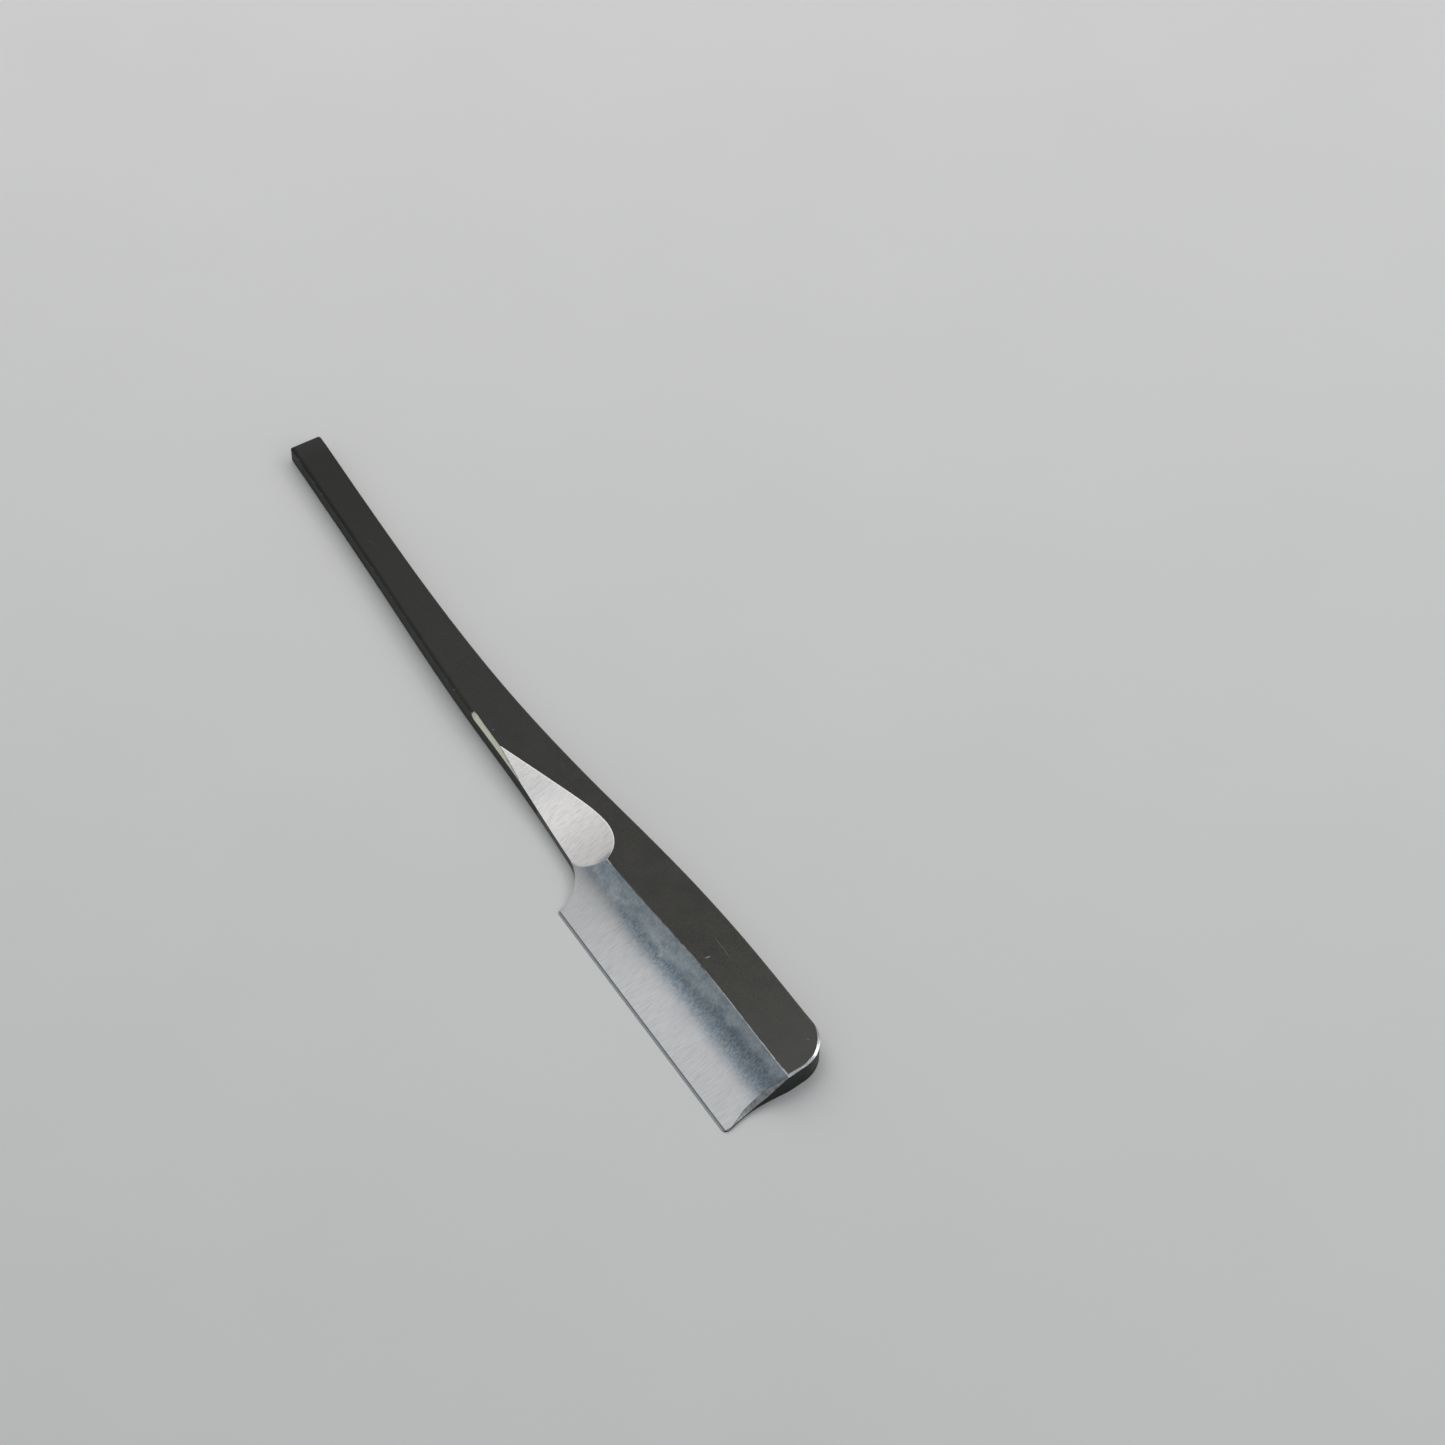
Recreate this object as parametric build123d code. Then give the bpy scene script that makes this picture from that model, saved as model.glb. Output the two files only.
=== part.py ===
from build123d import *
import math
import os

# A one-handed knife forged from a single bar: a slim tang that serves as the handle and a short,
# razor-shaped blade. The front of the blade is hollow ground from a ridge down to a straight
# cutting edge, and its back is forge-welded hard steel with a shallower hollow.
# While it is drawn, x runs from the end of the tang to the toe, y from the cutting edge to the
# spine, and z from the flat back, on which the knife lies, to the front. Millimetres.

# Overall sizes
LENGTH = 180.0
TANG_END_THICKNESS = 3.8
TOE_THICKNESS = 4.7
STEEL_THICKNESS = 2.3

# Outline, in x and y
TANG_END_BOTTOM = (0.0, 12.75)
TANG_END_TOP = (0.0, 19.35)
SPINE_POINTS = [(25.0, 18.05), (55.0, 17.05), (80.0, 17.4), (105.0, 19.4), (130.0, 22.2), (152.0, 23.55)]
SPINE_END = (170.0, 23.75)
TOE_TOP = (177.6, 23.75)
TOE_MIDDLE = (178.64, 13.9)
TOE_FLARE = [(178.66, 9.5), (178.88, 6.0), (179.7, 2.0)]
TOE_TIP = (LENGTH + 0.24, 0.0)
HEEL = (125.0, 0.0)
NOTCH_FOOT = (124.3, 2.4)
NOTCH_HEAD = (116.8, 7.3)
UNDERSIDE_POINTS = [(40.0, 10.7), (77.0, 8.75), (100.0, 8.25)]
SPINE_CORNER_RADIUS = 7.0
TOE_CORNER_RADIUS = 1.0
TANG_CORNER_RADIUS = 0.6
TANG_EDGE_CHAMFER = 0.45

# Front hollow: a circular section from just above the cutting edge up to the ridge
HOLLOW_RADIUS = 29.5
BEVEL_TOP_Y = 0.45
BEVEL_TOP_Z = 0.38
EDGE_THICKNESS = 0.08
RIDGE = [(116.0, 11.9), (134.0, 12.75), (152.0, 13.75), (184.0, 13.9)]

# Back hollow: shallower, between a narrow land along the edge and the spine
BACK_HOLLOW_START_Y = 1.3
BACK_HOLLOW_END_Y = 15.0
BACK_HOLLOW_DEPTH = 0.35
BACK_HOLLOW_START_X = 117.0
BACK_HOLLOW_RUN_OUT = 9.0
BACK_CUTTER_FOOT_Z = -1.0

# Leaf-shaped facet and the steep chamfer that leads into it, as borders on the front face
LEAF_FALL = 0.34
LEAF_BORDER = [
    (86.0, 8.2), (93.2, 10.5), (103.9, 13.9), (112.0, 16.1),
    (117.0, 16.2), (120.3, 14.5), (122.0, 12.1), (123.6, 8.0),
]
TAIL_FALL = 1.7
TAIL_BORDER = [(79.0, 8.2), (79.5, 9.2), (80.6, 9.35), (88.8, 9.15), (104.0, 8.95)]

# Rim round the toe: how far it comes in from the outline, as x of its inner border at each y
TOE_RIM_FALL = 0.57
TOE_RIM_ABOVE_RIDGE = [
    (178.1, 13.95), (177.85, 17.6), (176.95, 20.1), (175.3, 22.0), (173.3, 23.2), (170.0, 24.2),
]
TOE_RIM_BELOW_RIDGE = [(179.75, 1.6), (179.1, 3.1), (178.2, 5.2), (177.7, 9.0), (178.1, 11.8), (178.1, 13.95)]

# Hard steel plate: where its welded scarf starts, on the back and at its full thickness
SCARF_BACK_X = 114.5
SCARF_TOP_X = 119.5

# Cutters: how far they reach clear of the knife, how far they run past the face that they cut, and
# the planes on which the borders of the facets and of the rim are traced
CLEAR = 6.0
OVERRUN = 2.0
FACET_PLANE_Y = 24.0
RIM_PLANE_X = 168.0


def front_height(x):
    """Height of the flat front face above the back, at a distance from the tang's end."""
    return TANG_END_THICKNESS + (TOE_THICKNESS - TANG_END_THICKNESS) * x / LENGTH


def hollow_centre(ridge_y, ridge_z):
    """Centre of the hollow's circle, through the top of the edge bevel and the ridge."""
    half = math.hypot(ridge_y - BEVEL_TOP_Y, ridge_z - BEVEL_TOP_Z) / 2
    slope = math.atan2(ridge_z - BEVEL_TOP_Z, ridge_y - BEVEL_TOP_Y)
    rise = math.sqrt(HOLLOW_RADIUS**2 - half**2)
    mid_y = (BEVEL_TOP_Y + ridge_y) / 2
    mid_z = (BEVEL_TOP_Z + ridge_z) / 2
    return mid_y - rise * math.sin(slope), mid_z + rise * math.cos(slope)


def hollow_height(y, ridge_y, ridge_z):
    """Height of the hollow's surface at a distance from the cutting edge."""
    centre_y, centre_z = hollow_centre(ridge_y, ridge_z)
    return centre_z - math.sqrt(HOLLOW_RADIUS**2 - (y - centre_y) ** 2)


def knife_outline():
    """Plan of the knife, with its rounded corners."""
    spine = Spline([TANG_END_TOP, *SPINE_POINTS, SPINE_END])
    spine_end = Line(SPINE_END, TOE_TOP)
    toe = Line(TOE_TOP, TOE_MIDDLE)
    flare = Spline([TOE_MIDDLE, *TOE_FLARE, TOE_TIP])
    edge = Line(TOE_TIP, HEEL)
    heel = Line(HEEL, NOTCH_FOOT)
    underside = Spline([TANG_END_BOTTOM, *UNDERSIDE_POINTS, NOTCH_HEAD])
    notch = TangentArc(NOTCH_HEAD, NOTCH_FOOT, tangent=underside % 1)
    tang_end = Line(TANG_END_BOTTOM, TANG_END_TOP)
    plan = make_face([spine, spine_end, toe, flare, edge, heel, notch, underside, tang_end])
    corners = [
        (TOE_TOP, SPINE_CORNER_RADIUS),
        (TOE_TIP, TOE_CORNER_RADIUS),
        (TANG_END_TOP, TANG_CORNER_RADIUS),
        (TANG_END_BOTTOM, TANG_CORNER_RADIUS),
    ]
    for corner, radius in corners:
        vertex = plan.vertices().sort_by_distance(corner)[0]
        plan = fillet(vertex, radius)
    return plan


def tapered_blank():
    """Bar cut to the outline, chamfered round its front face, then tilted so that it tapers."""
    blank = extrude(knife_outline(), amount=-2 * TOE_THICKNESS)
    front_edges = blank.faces().sort_by(Axis.Z)[-1].edges()
    blank = chamfer(front_edges.sort_by(SortBy.LENGTH)[-1], TANG_EDGE_CHAMFER)
    taper = math.degrees(math.atan2(TOE_THICKNESS - TANG_END_THICKNESS, LENGTH))
    blank = Pos(0, 0, TANG_END_THICKNESS) * Rot(0, -taper, 0) * blank
    below_back = Pos(LENGTH / 2, 0, 0) * Box(
        2 * LENGTH, LENGTH, 4 * TOE_THICKNESS, align=(Align.CENTER, Align.CENTER, Align.MAX)
    )
    return blank - below_back


def front_hollow():
    """Space above the hollow-ground surface, lofted along the gently curved ridge."""
    sections = []
    for x, ridge_y in RIDGE:
        ridge_z = front_height(x)
        low_y = -OVERRUN
        high_y = ridge_y + OVERRUN
        mid_y = (low_y + high_y) / 2
        arc = ThreePointArc(
            (low_y, hollow_height(low_y, ridge_y, ridge_z)),
            (mid_y, hollow_height(mid_y, ridge_y, ridge_z)),
            (high_y, hollow_height(high_y, ridge_y, ridge_z)),
        )
        top = Polyline(arc @ 1, (high_y, 2 * CLEAR), (low_y, 2 * CLEAR), arc @ 0)
        sections.append(Plane.YZ.offset(x) * make_face([arc, top]))
    return loft(sections)


def edge_bevel():
    """Space above the narrow honed bevel along the cutting edge."""
    slope = (BEVEL_TOP_Z - EDGE_THICKNESS) / BEVEL_TOP_Y
    low_y = -OVERRUN
    high_y = 2 * BEVEL_TOP_Y
    section = Polyline(
        (low_y, EDGE_THICKNESS + slope * low_y), (high_y, EDGE_THICKNESS + slope * high_y),
        (high_y, CLEAR), (low_y, CLEAR),
        close=True,
    )
    start_x = HEEL[0] - OVERRUN
    return extrude(Plane.YZ.offset(start_x) * make_face(section), amount=LENGTH + CLEAR - start_x)


def facet_space(border, fall):
    """Space above a facet that falls from a border on the front face towards the underside."""
    trace = [(x, front_height(x) + fall * (FACET_PLANE_Y - y)) for x, y in border]
    ceiling = max(z for _, z in trace) + fall * FACET_PLANE_Y + CLEAR
    curve = Spline(trace)
    cover = Polyline(curve @ 1, (trace[-1][0], ceiling), (trace[0][0], ceiling), curve @ 0)
    trace_plane = Plane(origin=(0, FACET_PLANE_Y, 0), x_dir=(1, 0, 0), z_dir=(0, -1, 0))
    face = trace_plane * make_face([curve, cover])
    way = Vector(0, -1, -fall) * (FACET_PLANE_Y + OVERRUN)
    return extrude(face, amount=way.length, dir=way)


def toe_rim_space():
    """Space above the bright rim that slopes outwards round the spine corner and down the toe."""
    ridge_x, ridge_y = TOE_RIM_BELOW_RIDGE[-1]
    ridge_z = front_height(ridge_x)
    lower = [
        (y, hollow_height(y, ridge_y, ridge_z) + TOE_RIM_FALL * (x - RIM_PLANE_X))
        for x, y in TOE_RIM_BELOW_RIDGE
    ]
    upper = [(y, front_height(x) + TOE_RIM_FALL * (x - RIM_PLANE_X)) for x, y in TOE_RIM_ABOVE_RIDGE]
    low_curve = Spline(lower)
    high_curve = Spline(upper)
    ceiling = max(z for _, z in lower + upper) + CLEAR
    cover = Polyline(high_curve @ 1, (upper[-1][0], ceiling), (lower[0][0], ceiling), low_curve @ 0)
    face = Plane.YZ.offset(RIM_PLANE_X) * make_face([low_curve, high_curve, cover])
    way = Vector(1, 0, -TOE_RIM_FALL) * (LENGTH + OVERRUN - RIM_PLANE_X)
    return extrude(face, amount=way.length, dir=way)


def back_hollow():
    """Shallow cylinder ground into the back, rising from nothing near the heel."""
    mid_y = (BACK_HOLLOW_START_Y + BACK_HOLLOW_END_Y) / 2
    arc = ThreePointArc((BACK_HOLLOW_START_Y, 0), (mid_y, BACK_HOLLOW_DEPTH), (BACK_HOLLOW_END_Y, 0))
    foot_z = BACK_CUTTER_FOOT_Z
    cap = Polyline(arc @ 1, (BACK_HOLLOW_END_Y, foot_z), (BACK_HOLLOW_START_Y, foot_z), arc @ 0)
    full_x = BACK_HOLLOW_START_X + BACK_HOLLOW_RUN_OUT
    section = Plane.YZ.offset(full_x) * make_face([arc, cap])
    run_out = loft([Vertex(BACK_HOLLOW_START_X, mid_y, foot_z), section])
    return extrude(section, amount=LENGTH - full_x + CLEAR) + run_out


def steel_zone():
    """Everything behind the weld: the blade's back layer, ending in a scarf near the heel."""
    side = Polyline(
        (SCARF_BACK_X, 0), (SCARF_TOP_X, STEEL_THICKNESS), (LENGTH + CLEAR, STEEL_THICKNESS),
        (LENGTH + CLEAR, -CLEAR), (SCARF_BACK_X, -CLEAR),
        close=True,
    )
    side_plane = Plane(origin=(0, -CLEAR, 0), x_dir=(1, 0, 0), z_dir=(0, -1, 0))
    width = SPINE_END[1] + 2 * CLEAR
    return extrude(side_plane * make_face(side), amount=-width)


def finished_knife():
    """The whole forging after grinding, before it is parted along the weld."""
    knife = tapered_blank()
    for cutter in (
        front_hollow(),
        facet_space(LEAF_BORDER, LEAF_FALL),
        facet_space(TAIL_BORDER, TAIL_FALL),
        edge_bevel(),
        toe_rim_space(),
        back_hollow(),
    ):
        knife -= cutter
    return knife


knife = finished_knife()
extent = knife.bounding_box()
centring = Pos(-extent.center().X, -extent.center().Y, -extent.min.Z)
hard_steel_layer = centring * (knife & steel_zone())
soft_iron_body = centring * (knife - steel_zone())

export_step(soft_iron_body, "parts/soft_iron_body.step")
export_step(hard_steel_layer, "parts/hard_steel_layer.step")
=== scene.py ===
import math

import bpy
import numpy as np
from mathutils import Matrix, Vector, kdtree
from mathutils.geometry import delaunay_2d_cdt


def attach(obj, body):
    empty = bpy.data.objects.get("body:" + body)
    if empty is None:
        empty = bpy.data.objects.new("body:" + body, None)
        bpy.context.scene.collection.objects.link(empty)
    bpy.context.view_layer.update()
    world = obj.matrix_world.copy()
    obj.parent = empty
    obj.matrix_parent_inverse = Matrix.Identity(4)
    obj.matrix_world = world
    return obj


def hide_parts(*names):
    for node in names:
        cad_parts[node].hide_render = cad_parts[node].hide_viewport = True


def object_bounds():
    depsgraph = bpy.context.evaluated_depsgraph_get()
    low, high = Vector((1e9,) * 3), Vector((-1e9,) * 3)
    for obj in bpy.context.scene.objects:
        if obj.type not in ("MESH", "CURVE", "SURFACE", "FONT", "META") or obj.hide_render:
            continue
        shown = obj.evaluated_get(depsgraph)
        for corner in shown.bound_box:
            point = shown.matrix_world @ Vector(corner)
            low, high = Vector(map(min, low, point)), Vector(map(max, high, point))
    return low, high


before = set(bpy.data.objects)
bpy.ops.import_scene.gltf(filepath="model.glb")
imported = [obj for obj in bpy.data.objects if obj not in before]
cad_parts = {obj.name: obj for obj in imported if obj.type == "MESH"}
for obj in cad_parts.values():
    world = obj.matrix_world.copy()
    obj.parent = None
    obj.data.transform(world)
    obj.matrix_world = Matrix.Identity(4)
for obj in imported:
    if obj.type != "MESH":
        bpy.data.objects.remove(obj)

# A knife forged in one piece: black tang and spine, a razor-shaped blade hollow ground on the front,
# and a hard steel back. Shapes are worked out in millimetres: x from the end of the tang to the toe,
# y from the cutting edge to the spine, z up from the back. place() turns them into the row frame.

CAD_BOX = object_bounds()
MM = 0.001

# ---------------------------------------------------------------- outline and surfaces, in mm
TANG_END_BOTTOM = (0.0, 12.75)
TANG_END_TOP = (0.0, 19.35)
SPINE = [
    TANG_END_TOP, (25.0, 18.05), (55.0, 17.05), (80.0, 17.4), (105.0, 19.4), (130.0, 22.2), (152.0, 23.55),
    (170.0, 23.75),
]
UNDERSIDE = [TANG_END_BOTTOM, (40.0, 10.7), (77.0, 8.75), (100.0, 8.25), (116.8, 7.3)]
TOE_TOP = (177.6, 23.75)
TOE_SIDE = [(178.64, 13.9), (178.66, 9.5), (178.88, 6.0), (179.7, 2.0), (180.24, 0.0)]
TOE_TIP = TOE_SIDE[-1]
HEEL = (125.0, 0.0)
NOTCH_FOOT = (124.3, 2.4)
SPINE_CORNER_RADIUS = 7.0
TOE_CORNER_RADIUS = 1.0
TANG_CORNER_RADIUS = 0.6

LENGTH = 180.0
TANG_END_THICKNESS = 3.8
TOE_THICKNESS = 4.7
STEEL_THICKNESS = 2.3
SCARF_BACK_X = 114.5
SCARF_TOP_X = 119.5

HOLLOW_RADIUS = 29.5
BEVEL_TOP_Y = 0.45
BEVEL_TOP_Z = 0.38
EDGE_THICKNESS = 0.08
RIDGE = [
    (116.0, 11.9), (122.0, 12.15), (133.0, 12.65), (143.0, 13.3), (151.0, 13.72), (165.0, 13.86),
    (184.0, 13.9),
]
HOLLOW_START_X = 116.0

BACK_HOLLOW_Y = (1.3, 15.0)
BACK_HOLLOW_DEPTH = 0.35
BACK_HOLLOW_X = (117.0, 126.0)

LEAF_FALL = 0.34
LEAF_FULLNESS = 0.082
LEAF_FULL_X = (100.0, 116.7, 124.0)
LEAF_BORDER = [
    (86.0, 8.2), (93.2, 10.5), (103.9, 13.9), (112.0, 16.1), (117.0, 16.2), (120.3, 14.5), (122.0, 12.1),
    (123.6, 8.0),
]
TAIL_FALL = 1.7
TAIL_BORDER = [(79.0, 8.2), (79.5, 9.2), (80.6, 9.35), (88.8, 9.15), (104.0, 8.95)]
TOE_RIM_FALL = 0.57
# The rim's inner border, as (y, x)
TOE_RIM = [
    (1.6, 179.75), (3.1, 179.15), (5.2, 178.24), (7.2, 177.84), (8.9, 177.68), (10.4, 177.76), (11.7, 178.14),
    (13.95, 178.12), (15.4, 178.0), (17.6, 177.86), (18.8, 177.5), (20.1, 176.93), (21.2, 176.08),
    (22.1, 175.1), (22.8, 174.0), (23.4, 172.6), (24.2, 170.0),
]

# Rounding where surfaces meet, where chamfers begin on the front, and where they begin on the back
EDGE_SOFTNESS = 0.05
CHAMFER_SOFTNESS = 0.3
BACK_SOFTNESS = 0.1
# The back stays this far below the front, and its chamfers take up no more than this share of the height
LEAST_THICKNESS = EDGE_THICKNESS * 0.9
BACK_CHAMFER_SHARE = 0.3

# Hammer marks on the black faces: strength, change per mm along and across, and phase of each wave
HAMMER_WAVES = ((1.0, 0.21, 0.4, 0.0), (0.7, 0.097, 0.0, 1.3), (0.5, 0.43, -0.8, 0.0))
HAMMER_DEPTH = 0.008
HAMMER_LEVEL = 2.0

# How far each formula is used past the surface's own border
HOLLOW_OVERRUN = 3.0
BEVEL_OVERRUN = 4.0
RIM_OVERRUN = 2.0
# The scale laps over the ridge where the hollow is less than this far below it, up to a place near the toe
SCALE_LAP = 0.043
SCALE_LAP_END_X = 156.0
# A height above everything, for where a surface isn't there
FAR = 100.0


def natural_cubic(knots, values):
    """The natural cubic spline through values at rising knots, as a function."""
    step = np.diff(knots)
    count = len(knots)
    system = np.eye(count)
    right = np.zeros(count)
    for i in range(1, count - 1):
        system[i, i - 1:i + 2] = step[i - 1], 2 * (step[i - 1] + step[i]), step[i]
        right[i] = 6 * ((values[i + 1] - values[i]) / step[i] - (values[i] - values[i - 1]) / step[i - 1])
    bend = np.linalg.solve(system, right)

    def value(at):
        i = np.clip(np.searchsorted(knots, at) - 1, 0, count - 2)
        a = (knots[i + 1] - at) / step[i]
        b = (at - knots[i]) / step[i]
        curve = (a**3 - a) * bend[i] + (b**3 - b) * bend[i + 1]
        return a * values[i] + b * values[i + 1] + curve * step[i] ** 2 / 6

    return value


def curve_through(points):
    """A smooth curve through points, spaced by the distance between them, as y worked out from x."""
    points = np.array(points, float)
    knots = np.concatenate([[0], np.cumsum(np.linalg.norm(np.diff(points, axis=0), axis=1))])
    samples = 4000
    at = np.linspace(0, knots[-1], samples)
    x, y = natural_cubic(knots, points[:, 0])(at), natural_cubic(knots, points[:, 1])(at)
    return lambda wanted: np.interp(wanted, x, y)


spine_y = curve_through(SPINE)
underside_y = curve_through(UNDERSIDE)
ridge_y = curve_through(RIDGE)
leaf_border_y = curve_through(LEAF_BORDER)
tail_border_y = curve_through(TAIL_BORDER)
toe_rim_x = curve_through(TOE_RIM)
toe_side_x = curve_through([(y, x) for x, y in reversed(TOE_SIDE)])


def soft_min(a, b, width):
    """The lower of two heights, rounded where they cross."""
    overlap = np.clip(width - np.abs(a - b), 0, None) / width
    return np.minimum(a, b) - overlap**2 * width / 4


def smooth_step(value, low, high):
    """0 below low, 1 above high, and an even ramp between."""
    t = np.clip((value - low) / (high - low), 0, 1)
    return t * t * (3 - 2 * t)


def thickness(x):
    """Height of the flat front face, which tapers evenly from the toe to the end of the tang."""
    return TANG_END_THICKNESS + (TOE_THICKNESS - TANG_END_THICKNESS) * x / LENGTH


def land(x, y):
    """The forged front face: flat and slightly tapered, with the faint unevenness of hammer work."""
    waves = sum(size * np.sin(x * run + y * cross + phase) for size, run, cross, phase in HAMMER_WAVES)
    return thickness(x) + HAMMER_DEPTH * (waves - HAMMER_LEVEL)


def hollow(x, y):
    """The hollow-ground surface, a circular section through the edge bevel and the ridge."""
    top_y = ridge_y(x)
    top_z = thickness(x)
    half = np.hypot(top_y - BEVEL_TOP_Y, top_z - BEVEL_TOP_Z) / 2
    slope = np.arctan2(top_z - BEVEL_TOP_Z, top_y - BEVEL_TOP_Y)
    rise = np.sqrt(HOLLOW_RADIUS**2 - half**2)
    centre_y = (BEVEL_TOP_Y + top_y) / 2 - rise * np.sin(slope)
    centre_z = (BEVEL_TOP_Z + top_z) / 2 + rise * np.cos(slope)
    height = centre_z - np.sqrt(np.clip(HOLLOW_RADIUS**2 - (y - centre_y) ** 2, 1, None))
    return np.where((x > HOLLOW_START_X) & (y < top_y + HOLLOW_OVERRUN), height, FAR)


def leaf(x, y):
    """The leaf-shaped facet between the tang and the hollow, a little fuller towards its round end."""
    start, fullest, end = LEAF_FULL_X
    fuller = smooth_step(x, start, fullest) * (1 - smooth_step(x, fullest, end))
    height = land(x, y) - (LEAF_FALL - LEAF_FULLNESS * fuller) * (leaf_border_y(x) - y)
    return np.where((x > LEAF_BORDER[0][0]) & (x < LEAF_BORDER[-1][0]), height, FAR)


def tail(x, y):
    """The steep narrow chamfer that leads from the tang into the leaf."""
    height = land(x, y) - TAIL_FALL * (tail_border_y(x) - y)
    return np.where((x > TAIL_BORDER[0][0]) & (x < TAIL_BORDER[-1][0]), height, FAR)


def bevel(x, y):
    """The narrow honed bevel along the cutting edge."""
    height = EDGE_THICKNESS + y * (BEVEL_TOP_Z - EDGE_THICKNESS) / BEVEL_TOP_Y
    return np.where(x > HEEL[0] - BEVEL_OVERRUN, height, FAR)


def rim(x, y):
    """The rim that slopes outwards round the spine corner, square to its border there, and down the toe."""
    border = toe_rim_x(y)
    reach = 0.05
    lean = (toe_rim_x(y + reach) - toe_rim_x(y - reach)) / (2 * reach)
    start = np.minimum(land(border, y), hollow(border, y))
    out = (x - border) / np.hypot(1, np.where(y > RIDGE[-1][1], lean, 0))
    return np.where(x > TOE_RIM[-1][1] - RIM_OVERRUN, start - TOE_RIM_FALL * out, FAR)


SURFACES = (land, hollow, leaf, tail, bevel, rim)
LAND, HOLLOW, LEAF, TAIL, BEVEL, RIM = range(len(SURFACES))


# ---------------------------------------------------------------- plan outline
def spread(start, end, step):
    """Even points from start to end, without the last."""
    start, end = np.array(start, float), np.array(end, float)
    count = max(1, math.ceil(np.linalg.norm(end - start) / step))
    return start + (end - start) * np.arange(count)[:, None] / count


def along(curve, start_x, end_x, step):
    """Points on a curve from one x to another, without the last."""
    count = max(2, math.ceil(abs(end_x - start_x) / step))
    x = start_x + (end_x - start_x) * np.arange(count) / count
    return np.column_stack([x, curve(x)])


def rounded(before, corner, after, radius, step):
    """The arc that rounds a corner of the outline, with both its ends."""
    before, corner, after = (np.array(p, float) for p in (before, corner, after))
    back = (before - corner) / np.linalg.norm(before - corner)
    ahead = (after - corner) / np.linalg.norm(after - corner)
    half = math.acos(np.clip(back @ ahead, -1, 1)) / 2
    centre = corner + (back + ahead) / np.linalg.norm(back + ahead) * radius / math.sin(half)
    start = corner + back * radius / math.tan(half) - centre
    turn = math.pi - 2 * half
    if start[1] * back[0] - start[0] * back[1] < 0:
        turn = -turn
    count = max(3, math.ceil(abs(turn) * radius / step))
    angles = turn * np.arange(count + 1) / count
    cos, sin = np.cos(angles), np.sin(angles)
    return centre + np.column_stack([start[0] * cos - start[1] * sin, start[0] * sin + start[1] * cos])


def tangent_arc(start, direction, end, step):
    """The arc that leaves start in a direction and reaches end, without the last point."""
    start, end = np.array(start, float), np.array(end, float)
    direction = np.array(direction, float) / np.linalg.norm(direction)
    chord = end - start
    side = direction[0] * chord[1] - direction[1] * chord[0]
    turn = 2 * math.atan2(side, chord @ direction)
    radius = np.linalg.norm(chord) / (2 * math.sin(abs(turn) / 2))
    normal = np.array([-direction[1], direction[0]]) * np.sign(turn)
    centre = start + normal * radius
    count = max(3, math.ceil(abs(turn) * radius / step))
    angles = turn * np.arange(count) / count
    cos, sin = np.cos(angles), np.sin(angles)
    arm = start - centre
    return centre + np.column_stack([arm[0] * cos - arm[1] * sin, arm[0] * sin + arm[1] * cos])


# Front and back chamfer of each stretch of the outline
CHAMFERS = {
    "tang_end": (0.75, 0.3),
    "tang_underside": (0.5, 0.3),
    "ground_underside": (0.06, 0.25),
    "notch": (0.06, 0.1),
    "heel": (0.06, 0.04),
    "cutting_edge": (0.0, 0.0),
    "toe": (0.03, 0.04),
    "spine_corner": (0.1, 0.12),
    "spine": (0.4, 0.2),
}
CHAMFER_BLEND = 6
OUTLINE_STEP = 0.4
CURVE_STEP = 0.24
FINE_STEP = 0.12
# How far from a corner the direction of the curve that leaves it is taken
TANG_SIDE_REACH = 3.0
TOE_SIDE_REACH = 0.8


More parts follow.
